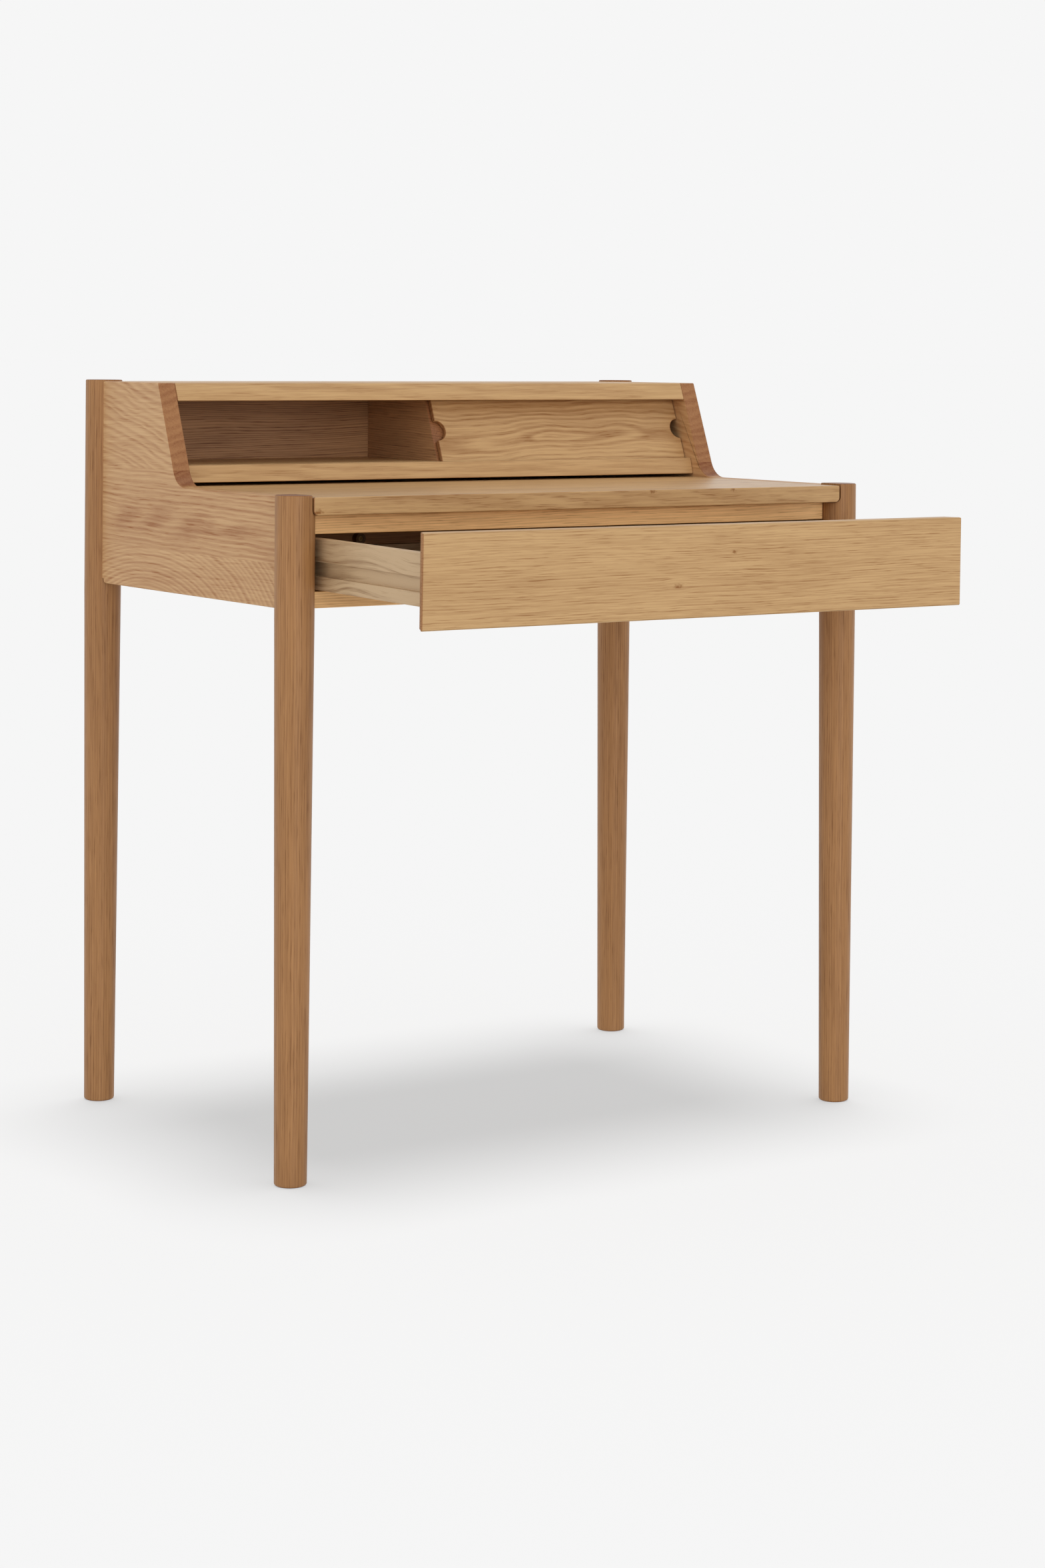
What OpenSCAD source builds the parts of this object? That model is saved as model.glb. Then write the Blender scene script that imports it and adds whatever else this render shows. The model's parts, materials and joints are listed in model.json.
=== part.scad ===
// Writing desk in solid oak: a pull-out worktop, one drawer below it and a raised
// storage row above it with a sliding door. Millimetres. The origin is on the floor,
// midway between the four feet. +X is the user's right, +Y is the back, +Z is up.

/* [Overall] */
// Width over the legs
desk_w = 800; // [700:10:1000]
// Front legs to rear legs, axis to axis
leg_spacing_y = 473; // [440:1:520]
// Height of the worktop's upper face
worktop_h = 748; // [740:1:760]
// Height of the storage row's top board
desk_h = 868; // [860:1:890]

/* [Legs] */
// Leg diameter above the taper
leg_d = 44; // [42:1:46]
// Leg diameter at the floor
foot_d = 36; // [30:1:38]
// Height at which the taper starts
taper_h = 618; // [400:1:620]
// Rounding of the foot's edge
foot_round = 3; // [1:0.5:5]
// How far each leg stands above the board beside it
leg_proud = 2; // [1:0.5:4]

/* [Side panels] */
// Thickness of a side panel
panel_t = 21.5; // [20:0.5:22]
// Outer face, outward from the leg axis
panel_out = 10; // [9:0.5:11]
// Lower edge of the side panels, rails and apron
apron_z = 625.5; // [620:0.5:630]
// Depth of the storage row's upper front corner, behind the centre
row_front_y = 73; // [60:1:90]
// Setback of the sloped edge for each millimetre of height
row_slope = 0.4; // [0.3:0.01:0.5]
// Radius of the fillet between the sloped edge and the panel's level edge
fillet_r = 30; // [20:1:35]

/* [Worktop] */
// Thickness of the worktop
worktop_t = 20; // [18:1:22]
// Front edge, in front of the leg axis
worktop_front = 19.5; // [15:0.5:22]
// Rounding of the worktop's lower end edges
worktop_round = 6; // [3:1:8]
// Pull-out travel
worktop_travel = 150; // [100:10:150]

/* [Storage row] */
// Thickness of the top board
row_top_t = 21; // [18:1:22]
// Gap between worktop and shelf
shelf_gap = 4; // [3:0.5:6]
// Thickness of the shelf
shelf_t = 20; // [18:1:22]
// Setback of the shelf's front behind the sloped edge
shelf_setback = 14.4; // [10:0.1:18]
// Thickness of the divider
divider_t = 18; // [17:0.5:22]
// Thickness of the back panel
back_t = 9.5; // [6:0.5:10]
// Thickness of the sliding door
door_t = 6; // [5:0.5:7]
// Setback of the door behind the sloped edge
door_setback = 26; // [24:1:28]
// Radius of the door's finger notches
notch_r = 13; // [10:1:15]

/* [Drawer] */
// Height of the drawer front
front_h = 101; // [98:0.5:101]
// Thickness of the drawer front
front_t = 20; // [18:1:20]
// Width of the drawer front
front_w = 728; // [724:1:730]
// How far the drawer stands open
drawer_out = 220; // [150:5:240]
// How far the open drawer's front hangs below its closed height
drawer_drop = 6.6; // [5:0.1:7]
// Nose-down lean of the drawer on its runners, in degrees
drawer_lean = 0.9; // [0.5:0.1:1]
// Height of the drawer sides
side_h = 56; // [50:0.5:57]
// Thickness of the drawer sides and back
side_t = 12; // [10:1:12]
// Depth of the drawer, front face to back
drawer_len = 474; // [460:1:474]

/* [Fasteners] */
// Dowel diameter
dowel_d = 8; // [6:1:8]
// Wood screw shank diameter
screw_d = 3.5; // [3:0.5:4]
// Wood screw head diameter
screw_head_d = 7; // [6:0.5:8]

/* [Hidden] */
$fn = 96;

// Colours of the oak, by part
oak_leg = [0.66, 0.50, 0.33];
oak_panel = [0.76, 0.60, 0.42];
oak_board = [0.79, 0.65, 0.45];
oak_inner = [0.72, 0.60, 0.46];
rubber = [0.13, 0.12, 0.11];
steel = [0.62, 0.60, 0.56];

slip = 0.2;       // clearance of a cope or housing
eps = 1;          // overrun of a cut
ease = 1;         // small chamfer on visible board edges
leg_r = leg_d / 2;
foot_r = foot_d / 2;
leg_x = desk_w / 2 - leg_r;
leg_y = leg_spacing_y / 2;
panel_outer = leg_x + panel_out;
panel_inner = panel_outer - panel_t;
tongue = 10;      // leg axis to the end of a side panel's tongue
panel_end = leg_y - tongue;
shoulder_r = 5;   // rounded rear lower corner of a side panel, where it meets the leg
shoulder_y = leg_y - leg_r;

// Worktop, its notches in the front legs and its supports
worktop_z = worktop_h - worktop_t;
worktop_y0 = -leg_y - worktop_front;
worktop_y1 = leg_y - leg_r - 1;
worktop_half = panel_inner - 1;
notch_gap = 1;    // under the worktop in the leg notch
notch_half = worktop_half + 1.8;
notch_round = worktop_round + 1.5;
support_z = worktop_z - 0.4;
cleat_w = 13;
cleat_h = 16;
batten_w = 20;
batten_h = 15;
batten_half = 335;

// Rails and apron
rail_y0 = -leg_y + 1;
rail_d = 21;
rail_upper_h = 21;
rail_lower_h = 18.5;
batten_y0 = rail_y0 + rail_d + worktop_travel + 0.5;  // meets the rail at full travel
apron_t = 18;
apron_y1 = leg_y + 9;
apron_top = worktop_h + 2;
apron_y0 = apron_y1 - apron_t;

// Thin panel below the drawer, let into the lower rail and the apron
dust_t = 4;
dust_z = apron_z + 3;
dust_half = panel_inner - 3;
dust_y0 = rail_y0 + rail_d - 4;
dust_y1 = apron_y0 + 4;

// Storage row
shelf_z = worktop_h + shelf_gap;
shelf_top = shelf_z + shelf_t;
row_under = desk_h - row_top_t;
back_y0 = leg_y - 0.5;
row_rear_y = leg_y + 18.5;
groove_depth = 5;
groove_slack = 0.6;
door_tan = door_t * sqrt(1 + row_slope * row_slope);  // door thickness measured along Y
door_x0 = -4;
door_x1 = panel_inner - 0.5;
divider_x = door_x0 - 3 + divider_t / 2;  // wide enough to close the door's left finger notch
slope_deg = atan(row_slope);
row_mid_z = (shelf_top + row_under) / 2;
function row_edge(z) = row_front_y - row_slope * (desk_h - z);

// Fillet between the sloped edge and the level edge
fillet_z = worktop_h + fillet_r;
fillet_y = row_edge(fillet_z) - fillet_r * sqrt(1 + row_slope * row_slope);
fillet_end = [fillet_y + fillet_r * cos(slope_deg), fillet_z - fillet_r * sin(slope_deg)];

// Drawer: heights are measured down from the upper edge of its front
closed_y = -leg_y - 23;
front_top_z = worktop_z - 1.2;
side_outer = 352.5;
side_top = -21.9;
runner_groove_top = -47.1;
runner_groove_h = 15.7;
runner_groove_depth = 6;
bottom_t = 5;
bottom_top = -70;
bottom_groove = 4;
back_top = -50;
cove_r = leg_r + 1;

// Runner: parallel to the leaning drawer, thinner than the groove it sits in
runner_h = 10.4;
runner_lift = 0.6;  // above the lowest place of the groove's lower face at the front
runner_w = panel_inner - side_outer + runner_groove_depth - 1;
runner_y0 = rail_y0 + rail_d + 1.5;
runner_y1 = leg_y - leg_r - 8;
runner_z0 = front_top_z + runner_groove_top - runner_groove_h + runner_lift
    + sin(drawer_lean) * (runner_y0 - closed_y);

// Bumper on the rear apron
bumper_d = 14;
bumper_len = 10;
bumper_recess = 1;
bumper_x = -27;
bumper_z = 669;

dowel_r = dowel_d / 2;
dowel_len = 28;
function sign_of(side) = side == "left" ? -1 : 1;

// ---- shared shapes ----

// A plain dowel along X, centred on the point
module dowel_x(at, r = dowel_r, len = dowel_len)
    translate(at) rotate([0, 90, 0]) cylinder(r = r, h = len, center = true);

module dowel_y(at, r = dowel_r, len = dowel_len)
    translate(at) rotate([90, 0, 0]) cylinder(r = r, h = len, center = true);

module dowel_z(at, r = dowel_r, len = dowel_len)
    translate(at) cylinder(r = r, h = len, center = true);

// A countersunk screw pointing down -Z, its head flush with the origin
module screw(len, d = screw_d, head = screw_head_d) {
    head_h = (head - d) / 2;
    union() {
        translate([0, 0, -head_h]) cylinder(d1 = d, d2 = head, h = head_h);
        translate([0, 0, -len + d]) cylinder(d = d, h = len - d - head_h);
        translate([0, 0, -len]) cylinder(d1 = 0.6, d2 = d, h = d);
    }
}

// The screw's drive recess, cut by the caller
module drive_recess(head = screw_head_d)
    for (turn = [0, 90])
        rotate(turn) translate([-head * 0.28, -0.5, -1.4]) cube([head * 0.56, 1, 2]);

module cross_screw(len, d = screw_d, head = screw_head_d)
    difference() {
        screw(len, d, head);
        drive_recess(head);
    }

// Turns a screw that points down -Z so that it points along an axis
module aim(dir) {
    if (dir == "+x") rotate([0, -90, 0]) children();
    else if (dir == "-x") rotate([0, 90, 0]) children();
    else if (dir == "+y") rotate([90, 0, 0]) children();
    else if (dir == "-y") rotate([-90, 0, 0]) children();
    else if (dir == "+z") rotate([180, 0, 0]) children();
    else children();
}

// Stretches a (y, z) outline along X
module along_x(x0, x1)
    translate([x0, 0, 0]) rotate([90, 0, 90]) linear_extrude(height = x1 - x0) children();

// Stretches an (x, z) outline along Y
module along_y(y0, y1)
    translate([0, y1, 0]) rotate([90, 0, 0]) linear_extrude(height = y1 - y0) children();

// Places children in the drawer's own frame: origin on the front's upper edge, leaning
module in_drawer()
    translate([0, closed_y - drawer_out, front_top_z - drawer_drop])
        rotate([drawer_lean, 0, 0]) children();

// ---- fastener places, shared by the pieces and their holes ----

rail_dowel_z = [support_z - rail_upper_h / 2, apron_z + rail_lower_h / 2];
rail_dowel_len = 20;  // short, to stay clear of the side panels' tongues
module rail_dowel_set(r = dowel_r)
    for (s = [-1, 1], z = rail_dowel_z)
        dowel_x([s * (leg_x - leg_r), rail_y0 + rail_d / 2, z], r, rail_dowel_len);

module apron_dowel_set(r = dowel_r)
    for (s = [-1, 1], z = [apron_z + 25, apron_z + 62, apron_z + 99])
        dowel_x([s * (leg_x - leg_r), apron_y0 + apron_t / 2, z], r);

module hutch_top_dowel_set(r = dowel_r)
    for (s = [-1, 1], y = [95, 140, 185])
        dowel_x([s * panel_inner, y, desk_h - row_top_t / 2], r, 24);

module hutch_shelf_dowel_set(r = dowel_r)
    for (s = [-1, 1], y = [75, 130, 185])
        dowel_x([s * panel_inner, y, shelf_z + shelf_t / 2], r, 24);

module divider_dowel_set(r = dowel_r - 1)
    for (z = [shelf_top, row_under], y = [135, 195])
        dowel_z([divider_x, y, z], r, 24);

// Mid-height of the runner at a depth
function runner_mid(y) = runner_z0 + runner_h / 2 + tan(drawer_lean) * (y - runner_y0);

runner_screw_len = runner_w + 14;
module runner_screw_places()
    for (s = [-1, 1], y = [-180, 0, 175])
        translate([s * (panel_inner - runner_w), y, runner_mid(y)])
            aim(s < 0 ? "-x" : "+x") children();

cleat_screw_len = cleat_w + 14;
module cleat_screw_places()
    for (s = [-1, 1], y = [-180, -60, 60, 180])
        translate([s * (panel_inner - cleat_w), y, support_z - cleat_h / 2])
            aim(s < 0 ? "-x" : "+x") children();

batten_screw_len = batten_h + 12;
module batten_screw_places()
    for (x = [-280, -95, 95, 280])
        translate([x, batten_y0 + batten_w / 2, worktop_z - batten_h]) aim("+z") children();

module drawer_front_dowel_set(r = dowel_r - 1)
    for (s = [-1, 1], z = [side_top - 12, side_top - side_h + 8])
        dowel_y([s * (side_outer - 4), front_t, z], r, 24);

module drawer_back_dowel_set(r = dowel_r - 1)
    for (s = [-1, 1])
        dowel_x([s * (side_outer - side_t - 3), drawer_len - side_t / 2, back_top - 8], r, 16);

bottom_screw = [16, 3, 6];  // length, shank and head of the small screws
module bottom_screw_places()
    for (x = [-240, 0, 240])
        translate([x, drawer_len - side_t / 2, bottom_top - bottom_t]) aim("+z") children();

bumper_screw_len = 24;
module bumper_screw_place()
    translate([bumper_x, apron_y0 - bumper_len + bumper_recess, bumper_z]) aim("+y") children();

// ---- legs ----

// A round leg, tapered at the bottom, with rounded foot and top edges
module leg_blank(h) {
    top_round = 1.5;
    union() {
        cylinder(r = foot_r - foot_round, h = h);
        rotate_extrude() translate([foot_r - foot_round, foot_round]) circle(r = foot_round);
        translate([0, 0, foot_round])
            cylinder(r1 = foot_r, r2 = leg_r, h = taper_h - foot_round);
        translate([0, 0, taper_h]) cylinder(r = leg_r, h = h - taper_h - top_round);
        translate([0, 0, taper_h]) cylinder(r = leg_r - top_round, h = h - taper_h);
        rotate_extrude() translate([leg_r - top_round, h - top_round]) circle(r = top_round);
    }
}

// Slot that takes a side panel's tongue; s is the side, dir the way to the panel along Y
module panel_slot(s, dir, z0, z1)
    translate([s > 0 ? panel_inner : -panel_outer, dir > 0 ? tongue : -tongue - leg_r, z0])
        cube([panel_t, leg_r, z1 - z0]);

// Cut that the worktop passes through, with a rounded lower outer corner
module worktop_notch(s) {
    z0 = worktop_z - notch_gap;
    along_y(-leg_y - leg_r - eps, -leg_y + leg_r + eps) scale([s, 1]) union() {
        translate([leg_x - leg_r - eps, z0])
            square([notch_half - notch_round - leg_x + leg_r + eps, worktop_t + 20]);
        translate([notch_half - notch_round - eps, z0 + notch_round])
            square([notch_round + eps, worktop_t + 20 - notch_round]);
        translate([notch_half - notch_round, z0 + notch_round]) circle(r = notch_round);
    }
}

module leg_front(side) {
    s = sign_of(side);
    color(oak_leg) difference() {
        translate([s * leg_x, -leg_y, 0]) leg_blank(worktop_h + leg_proud);
        translate([0, -leg_y, 0]) panel_slot(s, 1, apron_z, worktop_h);
        worktop_notch(s);
        rail_dowel_set();
    }
}

module leg_rear(side) {
    s = sign_of(side);
    color(oak_leg) difference() {
        translate([s * leg_x, leg_y, 0]) leg_blank(desk_h + leg_proud);
        translate([0, leg_y, 0]) panel_slot(s, -1, apron_z + shoulder_r, desk_h);
        back_slot();
        apron_dowel_set();
    }
}

// Groove in the rear legs that takes the storage row's back panel
module back_slot()
    translate([-leg_x + leg_r - groove_depth, back_y0, apron_top])
        cube([2 * (leg_x - leg_r + groove_depth), back_t, row_under - apron_top]);

module leg_front_left() leg_front("left");
module leg_front_right() leg_front("right");
module leg_rear_left() leg_rear("left");
module leg_rear_right() leg_rear("right");

// ---- side panels ----

// Outline in (y, z): level front part, fillet, sloped edge and high rear part
module panel_outline()
    difference() {
        union() {
            polygon([
                [-panel_end, apron_z], [shoulder_y - shoulder_r, apron_z],
                [shoulder_y, apron_z + shoulder_r], [panel_end, apron_z + shoulder_r],
                [panel_end, desk_h], [row_front_y, desk_h],
                fillet_end, [fillet_y, worktop_h], [-panel_end, worktop_h]
            ]);
            translate([shoulder_y - shoulder_r, apron_z + shoulder_r]) circle(r = shoulder_r);
        }
        translate([fillet_y, fillet_z]) circle(r = fillet_r);
    }

module side_panel(side) {
    s = sign_of(side);
    color(oak_panel) difference() {
        along_x(s > 0 ? panel_inner : -panel_outer, s > 0 ? panel_outer : -panel_inner)
            panel_outline();
        hutch_top_dowel_set();
        hutch_shelf_dowel_set();
        runner_screw_places() screw(runner_screw_len);
        cleat_screw_places() screw(cleat_screw_len);
    }
}

module side_panel_left() side_panel("left");
module side_panel_right() side_panel("right");

// ---- rails and apron ----

// Removes a leg's round from the end of a board
module leg_cope(y, r = leg_r + slip)
    for (s = [-1, 1])
        translate([s * leg_x, y, apron_z - eps]) cylinder(r = r, h = desk_h);

module front_rail(z0, h)
    color(oak_board) difference() {
        translate([-panel_inner + slip, rail_y0, z0])
            cube([2 * (panel_inner - slip), rail_d, h]);
        leg_cope(-leg_y);
        rail_dowel_set();
    }

module front_rail_upper() front_rail(support_z - rail_upper_h, rail_upper_h);
module front_rail_lower()
    difference() {
        front_rail(apron_z, rail_lower_h);
        dust_panel_space();
    }

module rear_apron()
    color(oak_panel) difference() {
        translate([-leg_x + leg_r - 4, apron_y0, apron_z])
            cube([2 * (leg_x - leg_r + 4), apron_t, apron_top - apron_z]);
        leg_cope(leg_y);
        dust_panel_space();
        apron_dowel_set();
        bumper_screw_place() screw(bumper_screw_len);
    }

// Shared by the panel and the grooves that hold it
module dust_panel_space()
    translate([-dust_half, dust_y0, dust_z]) cube([2 * dust_half, dust_y1 - dust_y0, dust_t]);

module dust_panel()
    color(oak_inner) difference() {
        dust_panel_space();
        leg_cope(leg_y);
    }

// ---- storage row ----

// Groove in (y, z) that the door's lower or upper edge runs in
module door_groove(z0, z1)
    along_x(-panel_inner - eps, panel_inner + eps)
        polygon([
            for (p = [[z0, -groove_slack], [z0, door_tan + groove_slack],
                      [z1, door_tan + groove_slack], [z1, -groove_slack]])
                [row_edge(p[0]) + door_setback + p[1], p[0]]
        ]);

module hutch_top()
    color(oak_board) difference() {
        along_x(-panel_inner, panel_inner)
            polygon([
                [row_edge(row_under), row_under], [row_edge(desk_h - ease), desk_h - ease],
                [row_front_y + ease, desk_h], [row_rear_y, desk_h], [row_rear_y, row_under]
            ]);
        leg_cope(leg_y);
        door_groove(row_under - eps, row_under + groove_depth);
        hutch_top_dowel_set();
        divider_dowel_set();
    }

module hutch_shelf()
    color(oak_board) difference() {
        along_x(-panel_inner, panel_inner)
            polygon([
                [row_edge(shelf_z) + shelf_setback + 2.6, shelf_z],
                [row_edge(shelf_top) + shelf_setback, shelf_top],
                [back_y0, shelf_top], [back_y0, shelf_z]
            ]);
        leg_cope(leg_y);
        door_groove(shelf_top - groove_depth, shelf_top + eps);
        hutch_shelf_dowel_set();
        divider_dowel_set();
    }

module hutch_back()
    color(oak_inner)
        translate([-leg_x + leg_r - groove_depth + 1, back_y0, apron_top])
            cube([2 * (leg_x - leg_r + groove_depth - 1), back_t, row_under - apron_top]);

// The divider's front edge slopes just behind the door
module hutch_divider() {
    front = door_setback + door_tan + 1;
    color(oak_inner) difference() {
        along_x(divider_x - divider_t / 2, divider_x + divider_t / 2)
            polygon([
                [row_edge(shelf_top) + front, shelf_top], [row_edge(row_under) + front, row_under],
                [back_y0, row_under], [back_y0, shelf_top]
            ]);
        divider_dowel_set();
    }
}

module sliding_door() {
    z0 = shelf_top - groove_depth + 0.6;
    z1 = row_under + groove_depth - 0.6;
    color(oak_board) difference() {
        along_x(door_x0, door_x1)
            polygon([
                for (p = [[z0, 0], [z0, door_tan], [z1, door_tan], [z1, 0]])
                    [row_edge(p[0]) + door_setback + p[1], p[0]]
            ]);
        for (x = [door_x0, door_x1])
            translate([x, row_edge(row_mid_z) + door_setback, row_mid_z])
                rotate([90 - slope_deg, 0, 0]) cylinder(r = notch_r, h = 4 * door_t, center = true);
    }
}

// ---- worktop and its supports ----

module worktop_section() {
    top_round = 2;
    union() {
        for (s = [-1, 1]) {
            translate([s * (worktop_half - worktop_round), worktop_z + worktop_round])
                circle(r = worktop_round);
            translate([s * (worktop_half - top_round), worktop_h - top_round])
                circle(r = top_round);
        }
        translate([-worktop_half + worktop_round, worktop_z])
            square([2 * (worktop_half - worktop_round), worktop_t - top_round]);
        translate([-worktop_half, worktop_z + worktop_round])
            square([2 * worktop_half, worktop_t - worktop_round - top_round]);
        translate([-worktop_half + top_round, worktop_h - 2 * top_round])
            square([2 * (worktop_half - top_round), 2 * top_round]);
    }
}

module worktop()
    color(oak_board) difference() {
        along_y(worktop_y0, worktop_y1) worktop_section();
        batten_screw_places() screw(batten_screw_len);
    }

module worktop_cleat(side) {
    s = sign_of(side);
    y1 = leg_y - leg_r - 2;
    color(oak_inner) difference() {
        translate([s > 0 ? panel_inner - cleat_w : -panel_inner, runner_y0, support_z - cleat_h])
            cube([cleat_w, y1 - runner_y0, cleat_h]);
        cleat_screw_places() screw(cleat_screw_len);
    }
}

module worktop_cleat_left() worktop_cleat("left");
module worktop_cleat_right() worktop_cleat("right");

module worktop_stop_batten()
    color(oak_inner) difference() {
        translate([-batten_half, batten_y0, worktop_z - batten_h])
            cube([2 * batten_half, batten_w, batten_h]);
        batten_screw_places() screw(batten_screw_len);
    }

// ---- drawer ----

module drawer_runner(side) {
    s = sign_of(side);
    rise = tan(drawer_lean) * (runner_y1 - runner_y0);
    color(oak_inner) difference() {
        along_x(s > 0 ? panel_inner - runner_w : -panel_inner, s > 0 ? panel_inner : runner_w - panel_inner)
            polygon([
                [runner_y0, runner_z0], [runner_y1, runner_z0 + rise],
                [runner_y1, runner_z0 + rise + runner_h], [runner_y0, runner_z0 + runner_h]
            ]);
        runner_screw_places() screw(runner_screw_len);
    }
}

module drawer_runner_left() drawer_runner("left");
module drawer_runner_right() drawer_runner("right");

// Front board: eased face edges, and ends hollowed to clear the front legs when it is closed
module drawer_front()
    color(oak_board) difference() {
        in_drawer() difference() {
            along_x(-front_w / 2, front_w / 2)
                polygon([
                    [0, -ease], [ease, 0], [front_t, 0], [front_t, -front_h],
                    [ease, -front_h], [0, ease - front_h]
                ]);
            drawer_front_dowel_set();
        }
        for (s = [-1, 1])
            translate([s * leg_x, -leg_y - drawer_out, apron_z - 30]) cylinder(r = cove_r, h = 150);
    }

// Side board with the runner groove outside and the bottom's groove inside
module drawer_side(side) {
    s = sign_of(side);
    z_bottom = side_top - side_h;
    color(oak_inner) in_drawer() difference() {
        translate([s > 0 ? side_outer - side_t : -side_outer, front_t, z_bottom])
            cube([side_t, drawer_len - front_t, side_h]);
        translate([s > 0 ? side_outer - runner_groove_depth : -side_outer - eps,
                   front_t - eps, runner_groove_top - runner_groove_h])
            cube([runner_groove_depth + eps, drawer_len, runner_groove_h]);
        translate([s > 0 ? side_outer - side_t - eps : -side_outer + side_t - bottom_groove,
                   front_t - eps, bottom_top - bottom_t])
            cube([bottom_groove + eps, drawer_len, bottom_t]);
        drawer_front_dowel_set();
        drawer_back_dowel_set();
    }
}

module drawer_side_left() drawer_side("left");
module drawer_side_right() drawer_side("right");

module drawer_back()
    color(oak_inner) in_drawer() difference() {
        translate([-side_outer + side_t, drawer_len - side_t, bottom_top])
            cube([2 * (side_outer - side_t), side_t, back_top - bottom_top]);
        drawer_back_dowel_set();
        bottom_screw_places() screw(bottom_screw[0], bottom_screw[1], bottom_screw[2]);
    }

module drawer_bottom()
    color(oak_inner) in_drawer() difference() {
        inset = bottom_groove - 0.3;
        translate([-side_outer + side_t - inset, front_t, bottom_top - bottom_t])
            cube([2 * (side_outer - side_t + inset), drawer_len - front_t, bottom_t]);
        bottom_screw_places() screw(bottom_screw[0], bottom_screw[1], bottom_screw[2]);
    }

// Rubber stop for the drawer's back, with a recess for its screw
module drawer_bumper()
    color(rubber) difference() {
        translate([bumper_x, apron_y0, bumper_z]) rotate([90, 0, 0])
            cylinder(d = bumper_d, h = bumper_len);
        bumper_screw_place() {
            cylinder(d = screw_head_d, h = bumper_len);
            screw(bumper_screw_len);
        }
    }

module bumper_screw() color(steel) bumper_screw_place() cross_screw(bumper_screw_len);

// ---- dowels and screws ----

module rail_dowels() color(oak_inner) rail_dowel_set();
module apron_dowels() color(oak_inner) apron_dowel_set();
module hutch_top_dowels() color(oak_inner) hutch_top_dowel_set();
module hutch_shelf_dowels() color(oak_inner) hutch_shelf_dowel_set();
module divider_dowels() color(oak_inner) divider_dowel_set();
module drawer_front_dowels() color(oak_inner) in_drawer() drawer_front_dowel_set();
module drawer_back_dowels() color(oak_inner) in_drawer() drawer_back_dowel_set();
module runner_screws() color(steel) runner_screw_places() cross_screw(runner_screw_len);
module cleat_screws() color(steel) cleat_screw_places() cross_screw(cleat_screw_len);
module batten_screws() color(steel) batten_screw_places() cross_screw(batten_screw_len);
module drawer_bottom_screws()
    color(steel) in_drawer() bottom_screw_places()
        cross_screw(bottom_screw[0], bottom_screw[1], bottom_screw[2]);

leg_front_left();
leg_front_right();
leg_rear_left();
leg_rear_right();
side_panel_left();
side_panel_right();
rear_apron();
front_rail_upper();
front_rail_lower();
dust_panel();
hutch_top();
hutch_shelf();
hutch_back();
hutch_divider();
sliding_door();
worktop();
worktop_cleat_left();
worktop_cleat_right();
worktop_stop_batten();
drawer_runner_left();
drawer_runner_right();
drawer_front();
drawer_side_left();
drawer_side_right();
drawer_back();
drawer_bottom();
drawer_bumper();
bumper_screw();
rail_dowels();
apron_dowels();
hutch_top_dowels();
hutch_shelf_dowels();
divider_dowels();
runner_screws();
cleat_screws();
batten_screws();
drawer_front_dowels();
drawer_back_dowels();
drawer_bottom_screws();
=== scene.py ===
"""Looks for the oak writing desk: eased board edges, procedural oak, a pale floor and soft light.

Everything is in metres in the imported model's frame: the origin is on the floor between the feet,
+X is the user's right, +Y is the back and +Z is up.
"""

import json
import math

import bmesh
import bpy
from mathutils import Matrix, Vector


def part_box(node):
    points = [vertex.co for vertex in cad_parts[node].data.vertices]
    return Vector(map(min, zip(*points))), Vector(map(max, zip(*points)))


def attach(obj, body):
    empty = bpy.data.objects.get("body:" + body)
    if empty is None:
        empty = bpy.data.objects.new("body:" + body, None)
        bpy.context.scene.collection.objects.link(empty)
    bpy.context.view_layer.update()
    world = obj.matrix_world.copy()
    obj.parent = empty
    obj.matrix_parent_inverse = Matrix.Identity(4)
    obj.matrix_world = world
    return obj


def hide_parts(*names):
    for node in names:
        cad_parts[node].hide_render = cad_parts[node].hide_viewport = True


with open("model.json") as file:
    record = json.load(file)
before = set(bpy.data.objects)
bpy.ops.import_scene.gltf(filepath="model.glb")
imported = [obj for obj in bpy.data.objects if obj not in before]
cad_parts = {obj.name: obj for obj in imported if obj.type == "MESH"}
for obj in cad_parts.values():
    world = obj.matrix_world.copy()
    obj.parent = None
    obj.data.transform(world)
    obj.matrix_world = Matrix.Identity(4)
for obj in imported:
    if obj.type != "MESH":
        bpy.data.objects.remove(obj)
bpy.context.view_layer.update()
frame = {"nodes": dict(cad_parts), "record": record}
AXES = "XYZ"
BODY_OF = {
    node: body
    for body, nodes in frame["record"]["behaviour"]["bodies"].items()
    for node in nodes
}
SLOT_OF = {part["node"]: part["material_slot"] for part in frame["record"]["subparts"]}


# ---------------------------------------------------------------- shader graph


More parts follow.
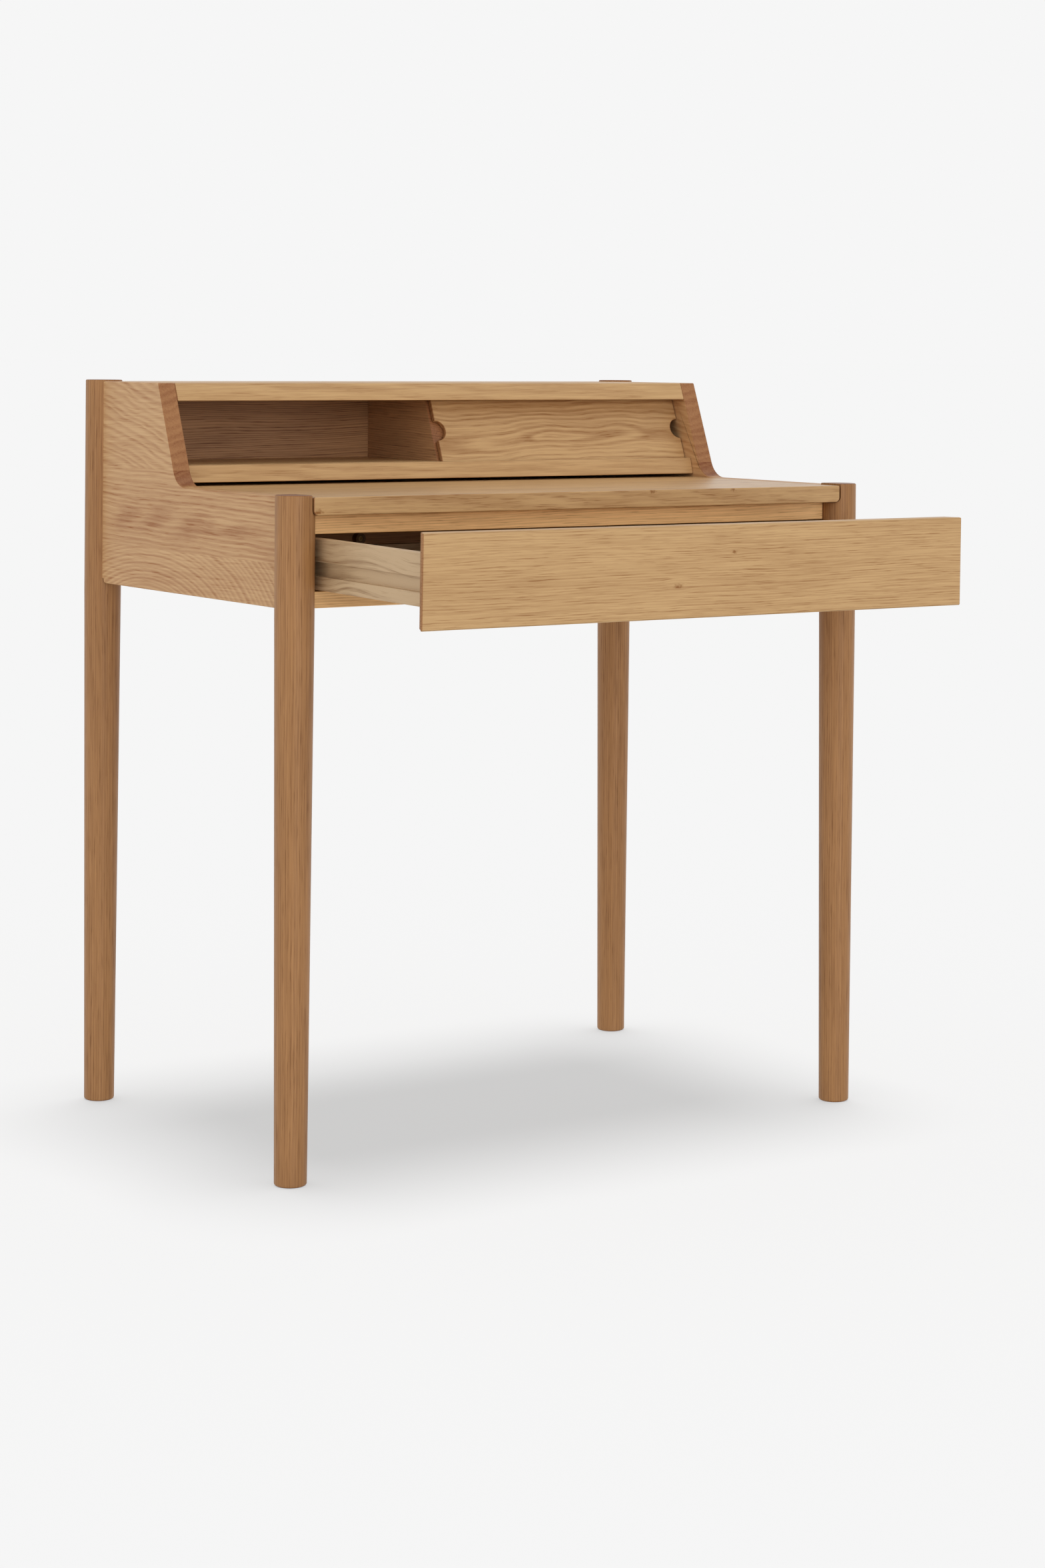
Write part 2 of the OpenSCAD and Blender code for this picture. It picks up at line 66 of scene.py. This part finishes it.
class Graph:
    """The nodes of one material, or of the world, with short calls for the kinds used here."""

    def __init__(self, owner):
        owner.use_nodes = True
        self.owner = owner
        self.nodes = owner.node_tree.nodes
        self.links = owner.node_tree.links
        self.nodes.clear()

    def node(self, kind, **settings):
        made = self.nodes.new(kind)
        for key, value in settings.items():
            setattr(made, key, value)
        return made

    def feed(self, socket, value):
        """Links a socket to another node's output, or sets its number, vector or colour."""
        if isinstance(value, bpy.types.NodeSocket):
            self.links.new(value, socket)
        else:
            socket.default_value = value

    def math(self, operation, first, second=0.0, third=0.0):
        made = self.node("ShaderNodeMath", operation=operation)
        for socket, value in zip(made.inputs, (first, second, third)):
            self.feed(socket, value)
        return made.outputs[0]

    def add(self, first, second):
        return self.math("ADD", first, second)

    def times(self, first, second):
        return self.math("MULTIPLY", first, second)

    def ramp(self, value, low, high, start=0.0, end=1.0):
        """Smooth step of value from low to high, giving start to end."""
        made = self.node("ShaderNodeMapRange", interpolation_type="SMOOTHSTEP")
        for socket, number in zip(made.inputs, (value, low, high, start, end)):
            self.feed(socket, number)
        return made.outputs[0]

    def length(self, x, y, z):
        made = self.node("ShaderNodeVectorMath", operation="LENGTH")
        self.feed(made.inputs[0], self.vector(x, y, z))
        return made.outputs["Value"]

    def vector(self, x, y, z):
        made = self.node("ShaderNodeCombineXYZ")
        for socket, value in zip(made.inputs, (x, y, z)):
            self.feed(socket, value)
        return made.outputs[0]

    def noise(self, place, scale=1.0, detail=2.0, roughness=0.5):
        """Noise in 0 to 1 and its colour, which is three independent noises."""
        made = self.node("ShaderNodeTexNoise")
        self.feed(made.inputs["Vector"], place)
        self.feed(made.inputs["Scale"], scale)
        self.feed(made.inputs["Detail"], detail)
        self.feed(made.inputs["Roughness"], roughness)
        return made.outputs[0], made.outputs[1]

    def random(self, value):
        """A fixed random number for each whole number."""
        made = self.node("ShaderNodeTexWhiteNoise", noise_dimensions="1D")
        self.feed(made.inputs["W"], value)
        return made.outputs["Value"]

    def split(self, vector):
        made = self.node("ShaderNodeSeparateXYZ")
        self.feed(made.inputs[0], vector)
        return list(made.outputs)

    def blend(self, share, first, second, mode="MIX"):
        """Mixes two colours."""
        made = self.node("ShaderNodeMix", data_type="RGBA", blend_type=mode)
        self.feed(made.inputs[0], share)
        self.feed(made.inputs[6], first)
        self.feed(made.inputs[7], second)
        return made.outputs[2]

    def steps(self, place, seams, values):
        """A value that changes at each seam: values[0] below the first, then the next, and so on."""
        result = values[0]
        for seam, before, after in zip(seams, values, values[1:]):
            passed = self.math("GREATER_THAN", place, seam)
            result = self.math("MULTIPLY_ADD", passed, after - before, result)
        return result

    def surface(self, colour, roughness, bump=None, strength=0.2, distance=0.0002, **others):
        """Closes the material with a Principled shader. others holds further sockets by name."""
        shader = self.node("ShaderNodeBsdfPrincipled")
        self.feed(shader.inputs["Base Color"], colour)
        self.feed(shader.inputs["Roughness"], roughness)
        for name, value in others.items():
            self.feed(shader.inputs[name.replace("_", " ")], value)
        if bump is not None:
            relief = self.node("ShaderNodeBump")
            relief.inputs["Strength"].default_value = strength
            relief.inputs["Distance"].default_value = distance
            self.feed(relief.inputs["Height"], bump)
            self.feed(shader.inputs["Normal"], relief.outputs[0])
        output = self.node("ShaderNodeOutputMaterial")
        self.links.new(shader.outputs[0], output.inputs[0])
        return self.owner


def colour(red, green, blue):
    """A colour as seen on screen, 0 to 255, turned into the linear values that shaders take."""

    def linear(value):
        value = value / 255
        return value / 12.92 if value <= 0.04045 else ((value + 0.055) / 1.055) ** 2.4

    return (linear(red), linear(green), linear(blue), 1.0)


# ---------------------------------------------------------------- oak

# The figure that every board shares. Scales are in noise cells a metre, along and across the grain.
STRAND_SCALE = (11.0, 400.0)
STRAND_MIDDLE = 0.42  # the noise that leaves the tone as it is
STROKE_SCALE = (32.0, 760.0)
STROKE_EDGE = (0.52, 0.68)  # the noise over which an open pore darkens
PATCH_SCALE = (3.5, 22.0)
PATCH_MIDDLE = 0.45
UNEVEN_SCALE = 55.0  # how quickly ring widths change
UNEVEN_RINGS = 2.0  # by how many rings they are shifted
DARKENING = (0.0, 0.35)  # the part of a ring over which it darkens
PALING = (0.4, 1.0)  # and pales again
FAINTEST_RING = 0.4
FAINTEST_STROKE = 0.4  # where a ring is palest
STROKE_GLOSS = 0.15  # what a stroke and a strand add to the roughness
STRAND_GLOSS = 0.08
STROKE_RELIEF = -0.8  # how far strokes and rings lie below the strands
RING_RELIEF = -0.3
STAVE_SHIFT = 3.7  # sets each stave's noise apart

KNOT_SQUEEZE = 0.4  # below 1, a knot is drawn out along the grain
KNOT_REACH = 4.0  # how many sizes away the rings still bend
KNOT_PUSH = 0.8
KNOT_RAGGED = 1.4  # in sizes
KNOT_EDGE = (0.6, 1.7)  # in sizes, where its mark fades
KNOT_SCALE = 350.0
KNOT_DEPTH = 0.8

FLAME_SCALE = (22.0, 260.0)
FLAME_LEAN = 0.6  # in half lengths for each half height
FLAME_TORN = 1.8
FLAME_EDGE = (1.0, 2.1)
FLAME_DEPTH = 0.34


def knotted(g, a, b, c, drift_b, knots):
    """Bends the rings round knots. Returns the bent drift and how dark the knots' middles are."""
    depth = 0.0
    for knot_a, knot_b, knot_c, size in knots:
        along_knot = g.times(g.math("SUBTRACT", a, knot_a), KNOT_SQUEEZE)
        across_knot = g.math("SUBTRACT", b, knot_b)
        reach = g.length(along_knot, across_knot, g.math("SUBTRACT", c, knot_c))
        near = g.ramp(reach, 0.0, KNOT_REACH * size, 1.0, 0.0)
        drift_b = g.math("MULTIPLY_ADD", g.times(near, across_knot), -KNOT_PUSH, drift_b)
        rough = g.noise(g.vector(a, b, c), KNOT_SCALE)[0]
        ragged = g.math("MULTIPLY_ADD", rough, KNOT_RAGGED * size, reach)
        mark = g.ramp(ragged, *(edge * size for edge in KNOT_EDGE), 1.0, 0.0)
        depth = g.math("MULTIPLY_ADD", mark, KNOT_DEPTH, depth)
    return drift_b, depth


def flamed(g, a, fibre_b, torn, flames, depth):
    """Adds soft dark marks, slanting and torn along the fibres, to how dark the wood is."""
    for flame_a, flame_b, half_length, half_height in flames:
        up = g.math("DIVIDE", g.math("SUBTRACT", fibre_b, flame_b), half_height)
        along = g.math("SUBTRACT", a, flame_a)
        leaning = g.math("MULTIPLY_ADD", up, FLAME_LEAN * half_length, along)
        reach = g.length(g.math("DIVIDE", leaning, half_length), up, 0.0)
        edge = g.math("MULTIPLY_ADD", torn, FLAME_TORN, reach)
        depth = g.math("MULTIPLY_ADD", g.ramp(edge, *FLAME_EDGE, 1.0, 0.0), FLAME_DEPTH, depth)
    return depth


def growth(g, radius, ring, shift):
    """How dark each point is for its place in a growth ring, at a radius from the pith line."""
    uneven = g.noise(g.vector(g.times(radius, UNEVEN_SCALE), shift, 0.0), detail=1.0)[0]
    turns = g.math("MULTIPLY_ADD", uneven, UNEVEN_RINGS, g.math("DIVIDE", radius, ring))
    year = g.math("FLOOR", turns)
    season = g.math("FRACT", turns)
    rise = g.ramp(season, *DARKENING)
    fall = g.ramp(season, *PALING, 1.0, 0.0)
    strength = g.math("MULTIPLY_ADD", g.random(year), 1.0 - FAINTEST_RING, FAINTEST_RING)
    return g.times(g.times(rise, fall), strength)


def oak(
    node,
    along,
    face,
    light,
    dark,
    pith=(0.0, -0.12, -0.03),
    slope=(0.02, 0.02),
    ring=0.0028,
    wander=0.004,
    swirl=(4.0, 14.0),
    rings=0.3,
    fibre=1.0,
    strokes=0.35,
    patches=0.5,
    end_grain=(0.62, 0.47, 0.38, 1.0),
    end_turn=(0.08, 0.50),
    knots=(),
    flames=(),
    seams=(),
    stave_tones=(),
    sheen=0.40,
    seed=0.0,
):
    """Oak for one board: growth rings round a pith line, cut by the board's faces.

    along is the grain's axis and face the axis through the board's thickness. The pith line passes
    through the point pith, given along, across and through the board from its middle, and drifts by
    slope across and through for each metre along, which turns straight grain into arches. ring is
    a year's growth. The grain strays by wander, in curves whose scale along and across is swirl.

    rings, fibre, strokes and patches say how much each darkens the wood from light to dark. A face
    takes the tint end_grain as it turns towards the grain's axis, over the range end_turn. knots
    hold a place with a size, flames a place along and across with a half length and a half height.

    With seams, the board is glued up from staves: pith, slope, ring and wander hold one entry for
    each, and stave_tones how much darker each is on its face and, beyond that, on its end.
    """
    g = Graph(bpy.data.materials.new("oak_" + node))
    low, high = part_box(node)
    middle = (low + high) / 2
    across = next(axis for axis in AXES if axis not in (along, face))
    coordinates = g.node("ShaderNodeTexCoord")
    place = g.split(coordinates.outputs["Object"])
    a, b, c = (
        g.math("SUBTRACT", place[AXES.index(axis)], middle[AXES.index(axis)])
        for axis in (along, across, face)
    )

    def of_stave(values):
        """The entry of values for the stave that a point lies in."""
        return g.steps(place[AXES.index(across)], seams, values)

    if seams:
        pith_a, pith_b, pith_c = (of_stave([entry[i] for entry in pith]) for i in range(3))
        slope_b, slope_c = (of_stave([entry[i] for entry in slope]) for i in range(2))
        ring, wander = of_stave(ring), of_stave(wander)
        shift = g.math("MULTIPLY_ADD", of_stave(list(range(len(seams) + 1))), STAVE_SHIFT, seed)
    else:
        pith_a, pith_b, pith_c = pith
        slope_b, slope_c = slope
        shift = seed

    # Slow drift of the grain, up to wander either way
    drift_place = g.vector(
        g.math("MULTIPLY_ADD", a, swirl[0], shift), g.times(b, swirl[1]), g.times(c, swirl[1])
    )
    drift = g.split(g.noise(drift_place, detail=2.0)[1])
    drift_b, drift_c = (
        g.times(g.math("MULTIPLY_ADD", drift[i], 2.0, -1.0), wander) for i in (0, 1)
    )
    fibre_b = g.add(b, drift_b)

    def stretched(scale, **settings):
        """Noise drawn out along the grain, on the board's wandering fibres."""
        point = g.vector(
            g.math("MULTIPLY_ADD", a, scale[0], shift),
            g.times(fibre_b, scale[1]),
            g.times(c, scale[1]),
        )
        return g.noise(point, **settings)[0]

    drift_b, depth = knotted(g, a, b, c, drift_b, knots)
    if flames:
        depth = flamed(g, a, fibre_b, stretched(FLAME_SCALE, detail=2.0), flames, depth)

    # Growth rings
    from_a = g.math("SUBTRACT", a, pith_a)
    pith_line_b = g.math("MULTIPLY_ADD", from_a, slope_b, pith_b)
    pith_line_c = g.math("MULTIPLY_ADD", from_a, slope_c, pith_c)
    radius = g.length(
        g.math("SUBTRACT", g.add(b, drift_b), pith_line_b),
        g.math("SUBTRACT", g.add(c, drift_c), pith_line_c),
        0.0,
    )
    early = growth(g, radius, ring, shift)

    # Fibres, short dark strokes where pores lie open, and slow changes of tone
    strand = stretched(STRAND_SCALE, detail=4.0, roughness=0.62)
    stroke = g.ramp(stretched(STROKE_SCALE, detail=2.0), *STROKE_EDGE)
    ring_share = g.math("MULTIPLY_ADD", early, 1.0 - FAINTEST_STROKE, FAINTEST_STROKE)
    stroke = g.times(stroke, ring_share)
    patch = stretched(PATCH_SCALE, detail=3.0)
    depth = g.math("MULTIPLY_ADD", early, rings, depth)
    depth = g.math("MULTIPLY_ADD", g.math("SUBTRACT", strand, STRAND_MIDDLE), fibre, depth)
    depth = g.math("MULTIPLY_ADD", stroke, strokes, depth)
    depth = g.math("MULTIPLY_ADD", g.math("SUBTRACT", patch, PATCH_MIDDLE), patches, depth)

    # Faces cut across the grain are darker
    normal = g.split(coordinates.outputs["Normal"])[AXES.index(along)]
    cut_across = g.ramp(g.math("ABSOLUTE", normal), *end_turn)
    if stave_tones:
        on_face, on_end = (of_stave(tones) for tones in zip(*stave_tones))
        depth = g.add(depth, g.math("MULTIPLY_ADD", cut_across, on_end, on_face))
    clamped = g.node("ShaderNodeClamp")
    g.feed(clamped.inputs[0], depth)
    wood = g.blend(clamped.outputs[0], light, dark)
    wood = g.blend(cut_across, wood, g.blend(1.0, wood, end_grain, "MULTIPLY"))

    gloss = g.math("MULTIPLY_ADD", strand, STRAND_GLOSS, sheen)
    gloss = g.math("MULTIPLY_ADD", stroke, STROKE_GLOSS, gloss)
    relief = g.math("MULTIPLY_ADD", early, RING_RELIEF, strand)
    relief = g.math("MULTIPLY_ADD", stroke, STROKE_RELIEF, relief)
    return g.surface(wood, gloss, relief, strength=0.2, distance=0.00018, Specular_IOR_Level=0.3)


# ---------------------------------------------------------------- other materials


def rubber():
    """Brown rubber, for the bumper."""
    g = Graph(bpy.data.materials.new("bumper_rubber"))
    grain = g.noise(g.node("ShaderNodeTexCoord").outputs["Object"], 900.0)[0]
    tone = g.blend(grain, colour(112, 92, 66), colour(140, 118, 88))
    return g.surface(tone, 0.7, grain)


def steel():
    """Yellowish steel, for the screws."""
    g = Graph(bpy.data.materials.new("screw_steel"))
    grain = g.noise(g.node("ShaderNodeTexCoord").outputs["Object"], 1500.0)[0]
    tone = g.blend(grain, colour(176, 158, 112), colour(206, 190, 142))
    return g.surface(tone, g.math("MULTIPLY_ADD", grain, 0.2, 0.3), grain, Metallic=0.7)


# ---------------------------------------------------------------- pieces

WELD = 1e-6
FLAT_WITHIN = math.radians(0.3)
SHARP_FROM = math.radians(35)


def paint(piece, material):
    """Gives a piece one material."""
    piece.data.materials.clear()
    piece.data.materials.append(material)


def eased(node, width=0.0012):
    """Stands for a CAD board: the same shape, with clean faces and softly rounded edges."""
    bm = bmesh.new()
    bm.from_mesh(frame["nodes"][node].data)
    bmesh.ops.remove_doubles(bm, verts=bm.verts, dist=WELD)
    bmesh.ops.dissolve_limit(
        bm, angle_limit=FLAT_WITHIN, use_dissolve_boundaries=False,
        verts=bm.verts, edges=bm.edges,
    )
    points = [vertex.co.copy() for vertex in bm.verts]
    bm.verts.index_update()
    faces = [[vertex.index for vertex in polygon.verts] for polygon in bm.faces]
    bm.free()
    mesh = bpy.data.meshes.new(node + "_eased")
    mesh.from_pydata(points, [], faces)
    mesh.shade_smooth()
    piece = bpy.data.objects.new(node + "_eased", mesh)
    bpy.context.scene.collection.objects.link(piece)
    bevel = piece.modifiers.new("eased edges", "BEVEL")
    bevel.width = width
    bevel.segments = 3
    bevel.limit_method = "ANGLE"
    bevel.angle_limit = SHARP_FROM
    bevel.use_clamp_overlap = False
    bevel.harden_normals = True
    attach(piece, BODY_OF[node])
    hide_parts(node)
    return piece


# ---------------------------------------------------------------- legs and side panels

LIGHT_LEG = colour(169, 122, 76)
DARK_LEG = colour(108, 66, 30)
LEG_SEEDS = {"front_left": 7.0, "rear_left": 5.0, "front_right": 2.0, "rear_right": 0.0}

LIGHT_PANEL = colour(204, 164, 117)
DARK_PANEL = colour(151, 96, 51)
STAVE_SEAMS = (0.674, 0.767)  # heights of the joints between a panel's three staves
ARCH_SLOPE = 0.42  # the bottom stave's pith line leaves the panel's face, which draws arches
FLAMES = (
    (0.152, -0.036, 0.036, 0.018),
    (0.074, -0.036, 0.038, 0.020),
    (-0.018, -0.040, 0.050, 0.019),
    (-0.114, -0.042, 0.070, 0.010),
)


def paint_legs():
    for name, seed in LEG_SEEDS.items():
        node = "leg_" + name
        wood = oak(node, "Z", "Y", LIGHT_LEG, DARK_LEG, pith=(0.0, 0.05, -0.06),
                   slope=(0.004, 0.006), wander=0.003, strokes=0.4, end_turn=(0.40, 0.90), seed=seed)
        paint(frame["nodes"][node], wood)


def paint_side_panels():
    """Each panel is glued up from three staves. The left one's outer face carries the flames."""
    for side, inward in (("left", 1), ("right", -1)):
        node = "side_panel_" + side
        wood = oak(
            node, "Y", "X", LIGHT_PANEL, DARK_PANEL,
            seams=STAVE_SEAMS,
            pith=((0.12, -0.165, 0.0), (0.0, 0.20, -0.05), (0.0, 0.30, -0.05)),
            slope=((0.0, ARCH_SLOPE * inward), (0.02, 0.02), (0.24, 0.05)),
            ring=(0.0046, 0.006, 0.009),
            wander=(0.002, 0.004, 0.009),
            stave_tones=((0.02, 0.0), (0.08, 0.35), (0.0, 0.0)),
            flames=FLAMES if side == "left" else (),
            swirl=(9.0, 20.0),
            rings=0.42,
            seed=8.0 + 3.0 * inward,
        )
        paint(eased(node), wood)


# ---------------------------------------------------------------- boards

LIGHT_BOARD = colour(201, 163, 114)
DARK_BOARD = colour(140, 92, 46)
# The front rails take a paler tone than the other boards: painted light, in place of the light that
# the worktop's overhang keeps off them
RAIL_TONE_PAINTED_LIGHT = colour(246, 200, 140)
# The storage row's divider and back take darker tones than the other boards: painted shade of the
# row's hollow
DIVIDER_TONE_PAINTED_SHADE = colour(194, 148, 104)
BACK_TONE_PAINTED_SHADE = colour(182, 136, 94)
DARK_BACK_PAINTED_SHADE = colour(106, 66, 38)
THIN_EASE = 0.0006

RAIL = dict(light=RAIL_TONE_PAINTED_LIGHT, pith=(0.0, -0.20, -0.02), rings=0.2, patches=0.3)
BOARDS = {
    "drawer_front": dict(
        pith=(0.0, -0.30, -0.02), slope=(0.01, 0.0), rings=0.22, strokes=0.5, seed=1.0,
        knots=((-0.038, -0.015, -0.010, 0.0035), (0.037, 0.020, -0.010, 0.0028)),
    ),
    "worktop": dict(
        pith=(0.0, 0.9, -0.1), rings=0.2, strokes=0.55, patches=0.9, sheen=0.30, seed=4.0,
        knots=((0.087, -0.235, 0.008, 0.003), (0.204, -0.235, 0.008, 0.0025),
               (-0.360, -0.235, -0.006, 0.004)),
    ),
    "front_rail_upper": dict(RAIL, seed=9.0),
    "front_rail_lower": dict(RAIL, seed=11.0),
    "hutch_top": dict(pith=(0.0, 0.3, -0.2), rings=0.2, strokes=0.25, seed=13.0),
    "hutch_shelf": dict(pith=(0.0, 0.3, -0.2), rings=0.25, strokes=0.25, seed=15.0),
    "sliding_door": dict(
        pith=(0.10, -0.010, 0.0), slope=(0.0, 0.09), ring=0.0060, rings=0.46,
        wander=0.013, swirl=(7.0, 14.0), patches=0.8, seed=17.0,
    ),
    "rear_apron": dict(seed=19.0),
}
FLAT = {"worktop", "hutch_top", "hutch_shelf"}


def paint_boards():
    """The boards that run from left to right, and the storage row's divider and back, darkened with
    painted shade.
    """
    for node, look in BOARDS.items():
        look = {"light": LIGHT_BOARD, "dark": DARK_BOARD, **look}
        paint(eased(node), oak(node, "X", "Z" if node in FLAT else "Y", **look))
    divider = oak("hutch_divider", "Y", "X", DIVIDER_TONE_PAINTED_SHADE, DARK_BACK_PAINTED_SHADE, seed=21.0)
    paint(eased("hutch_divider", THIN_EASE), divider)
    back = oak("hutch_back", "X", "Y", BACK_TONE_PAINTED_SHADE, DARK_BACK_PAINTED_SHADE, pith=(0.0, -0.20, -0.02),
               wander=0.007, rings=0.5, patches=0.8, seed=23.0)
    paint(frame["nodes"]["hutch_back"], back)


# ---------------------------------------------------------------- inner pieces and fasteners

LIGHT_INNER = colour(196, 167, 130)
DARK_INNER = colour(126, 90, 56)
SIDE_EASE = 0.0008
INNER_SEED = 30.0
INNER = {
    "drawer_side_left": ("Y", "X"),
    "drawer_side_right": ("Y", "X"),
    "drawer_back": ("X", "Y"),
    "drawer_bottom": ("X", "Z"),
    "dust_panel": ("X", "Z"),
    "drawer_runner_left": ("Y", "X"),
    "drawer_runner_right": ("Y", "X"),
    "worktop_cleat_left": ("Y", "X"),
    "worktop_cleat_right": ("Y", "X"),
    "worktop_stop_batten": ("X", "Z"),
}


def paint_inner_pieces():
    """Paler, greyer oak for what the desk holds inside. Only the drawer's sides are in plain view."""
    for count, (node, (along, face)) in enumerate(INNER.items()):
        drawer_side = node.startswith("drawer_side")
        wood = oak(node, along, face, LIGHT_INNER, DARK_INNER, pith=(0.0, -0.15, -0.02),
                   ring=0.0085, rings=0.32, wander=0.016, swirl=(6.0, 16.0),
                   patches=2.4 if drawer_side else 1.0, seed=INNER_SEED + 2 * count)
        paint(eased(node, SIDE_EASE) if drawer_side else frame["nodes"][node], wood)


def paint_fasteners():
    """Dowels, screws and the rubber bumper."""
    dowel = oak("rail_dowels", "X", "Z", LIGHT_INNER, DARK_INNER)
    screw = steel()
    for node, slot in SLOT_OF.items():
        if node.endswith("dowels"):
            paint(frame["nodes"][node], dowel)
        elif slot == "screw":
            paint(frame["nodes"][node], screw)
    paint(frame["nodes"]["drawer_bumper"], rubber())


# ---------------------------------------------------------------- stage and light

WHITE = (1.0, 1.0, 1.0, 1.0)
BACKDROP = 0.922  # brightness of the surround in view, and of the floor away from the desk
AMBIENT = 0.78  # light that the surround gives the desk
FLOOR_SIZE = 400
FLOOR_BOUNCE = 0.38  # light that the floor gives the desk
SHADOW_SHARE = 0.31  # how much of the floor's brightness the desk's shadow can take away
PAPER = 0.15  # how much of the lamps' light the floor gives back, besides its own even tone

# Each lamp has a share, a spread in degrees and a direction, as sun() takes them
LAMPS = {
    "overhead": (0.08, 50, (-0.10, -0.10, -1.0)),
    "front": (0.30, 30, (0.15, 1.0, -0.05)),
    "left": (0.10, 30, (1.0, 0.25, -0.2)),
}
FLOOR_LAMP = (SHADOW_SHARE * BACKDROP / PAPER, 25, (-0.05, -0.06, -1.0))
INNER_LAMP = (0.12, 30, (-0.46, 0.88, 0.05))
INNER_LAMP_COLOUR = (1.0, 0.62, 0.42)
SEEN_PAST_DRAWER = ("rear_apron_eased", "drawer_bumper", "bumper_screw")


def brighter_in_view(graph, plain, seen):
    """A value that is plain where it lights the object, and seen for the camera and in gloss."""
    path = graph.node("ShaderNodeLightPath")
    direct = graph.math("MAXIMUM", path.outputs["Is Camera Ray"], path.outputs["Is Glossy Ray"])
    return graph.math("MULTIPLY_ADD", direct, seen - plain, plain)


def linked(name, members, state):
    """A group of objects that a lamp reaches, or leaves out."""
    group = bpy.data.collections.new(name)
    for member in members:
        group.objects.link(member)
    for entry in group.collection_objects:
        entry.light_linking.link_state = state
    return group


def sun(name, share, spread, direction):
    """A soft lamp. share is the light that a white surface facing it gives back."""
    lamp = bpy.data.lights.new(name, "SUN")
    lamp.energy = share * math.pi
    lamp.angle = math.radians(spread)
    light = bpy.data.objects.new(name, lamp)
    light.rotation_euler = Vector(direction).to_track_quat("-Z", "Y").to_euler()
    bpy.context.scene.collection.objects.link(light)
    return light


def pale_floor():
    """A floor that runs out of sight. It glows evenly, and its own lamp adds what a shadow takes."""
    bpy.ops.mesh.primitive_plane_add(size=FLOOR_SIZE)
    floor = bpy.context.object
    floor.name = "studio_floor"
    g = Graph(bpy.data.materials.new("floor_paper"))
    fleck = g.noise(g.node("ShaderNodeTexCoord").outputs["Object"], 300.0)[0]
    even = BACKDROP * (1 - SHADOW_SHARE) - PAPER * AMBIENT
    paper = g.surface(
        (PAPER, PAPER, PAPER, 1.0), 1.0, fleck, strength=0.02,
        Specular_IOR_Level=0.0, Emission_Color=WHITE,
        Emission_Strength=brighter_in_view(g, FLOOR_BOUNCE, even),
    )
    paint(floor, paper)
    return floor


def white_surround():
    g = Graph(bpy.data.worlds.new("studio_surround"))
    background = g.node("ShaderNodeBackground")
    g.feed(background.inputs["Color"], WHITE)
    g.feed(background.inputs["Strength"], brighter_in_view(g, AMBIENT, BACKDROP))
    g.links.new(background.outputs[0], g.node("ShaderNodeOutputWorld").inputs[0])
    bpy.context.scene.world = g.owner


def lamps(floor):
    """Weak soft lamps for the desk, one for the floor, and one for what is seen past the drawer."""
    inside = [bpy.data.objects[name] for name in SEEN_PAST_DRAWER]
    inner = sun("drawer_space", *INNER_LAMP)
    inner.data.color = INNER_LAMP_COLOUR
    inner.data.use_shadow = False
    inner.light_linking.receiver_collection = linked("inside_the_drawer_space", inside, "INCLUDE")

    for name, lamp in LAMPS.items():
        light = sun(name, *lamp)
        left_out = linked(name + "_leaves_out", [floor], "EXCLUDE")
        light.light_linking.receiver_collection = left_out

    # The shadow under the desk is the legs' rectangle: the open drawer adds none
    drawer = [
        item for item in bpy.data.objects
        if item.type == "MESH" and BODY_OF.get(item.name.removesuffix("_eased")) == "drawer"
    ]
    above = sun("floor_shadow", *FLOOR_LAMP)
    above.light_linking.receiver_collection = linked("shadow_falls_on", [floor], "INCLUDE")
    above.light_linking.blocker_collection = linked("no_shadow_from", drawer, "EXCLUDE")


# ---------------------------------------------------------------- camera

CAMERA_PLACE = (-2.0851, -3.2722, 0.9087)
CAMERA_TURN = math.radians(-33.421)
CAMERA_ROLL = math.radians(0.411)
LENS = 73.37
SENSOR = 36.0
SHIFT = (-0.0007, -0.2764)
FAR_CLIP = 1000.0


def camera():
    """The viewpoint: front left, just above the storage row, level, with the frame shifted down."""
    data = bpy.data.cameras.new("view")
    data.sensor_fit = "AUTO"
    data.sensor_width = SENSOR
    data.lens = LENS
    data.shift_x, data.shift_y = SHIFT
    data.dof.use_dof = False
    data.clip_end = FAR_CLIP
    view = bpy.data.objects.new("view", data)
    turn = Matrix.Rotation(CAMERA_TURN, 4, "Z")
    level = Matrix.Rotation(math.radians(90), 4, "X")
    roll = Matrix.Rotation(CAMERA_ROLL, 4, "Z")
    view.matrix_world = Matrix.Translation(CAMERA_PLACE) @ turn @ level @ roll
    bpy.context.scene.collection.objects.link(view)
    bpy.context.scene.camera = view


# ---------------------------------------------------------------- scene

paint_legs()
paint_side_panels()
paint_boards()
paint_inner_pieces()
paint_fasteners()
white_surround()
lamps(pale_floor())
camera()
bpy.context.scene.view_settings.view_transform = "Standard"
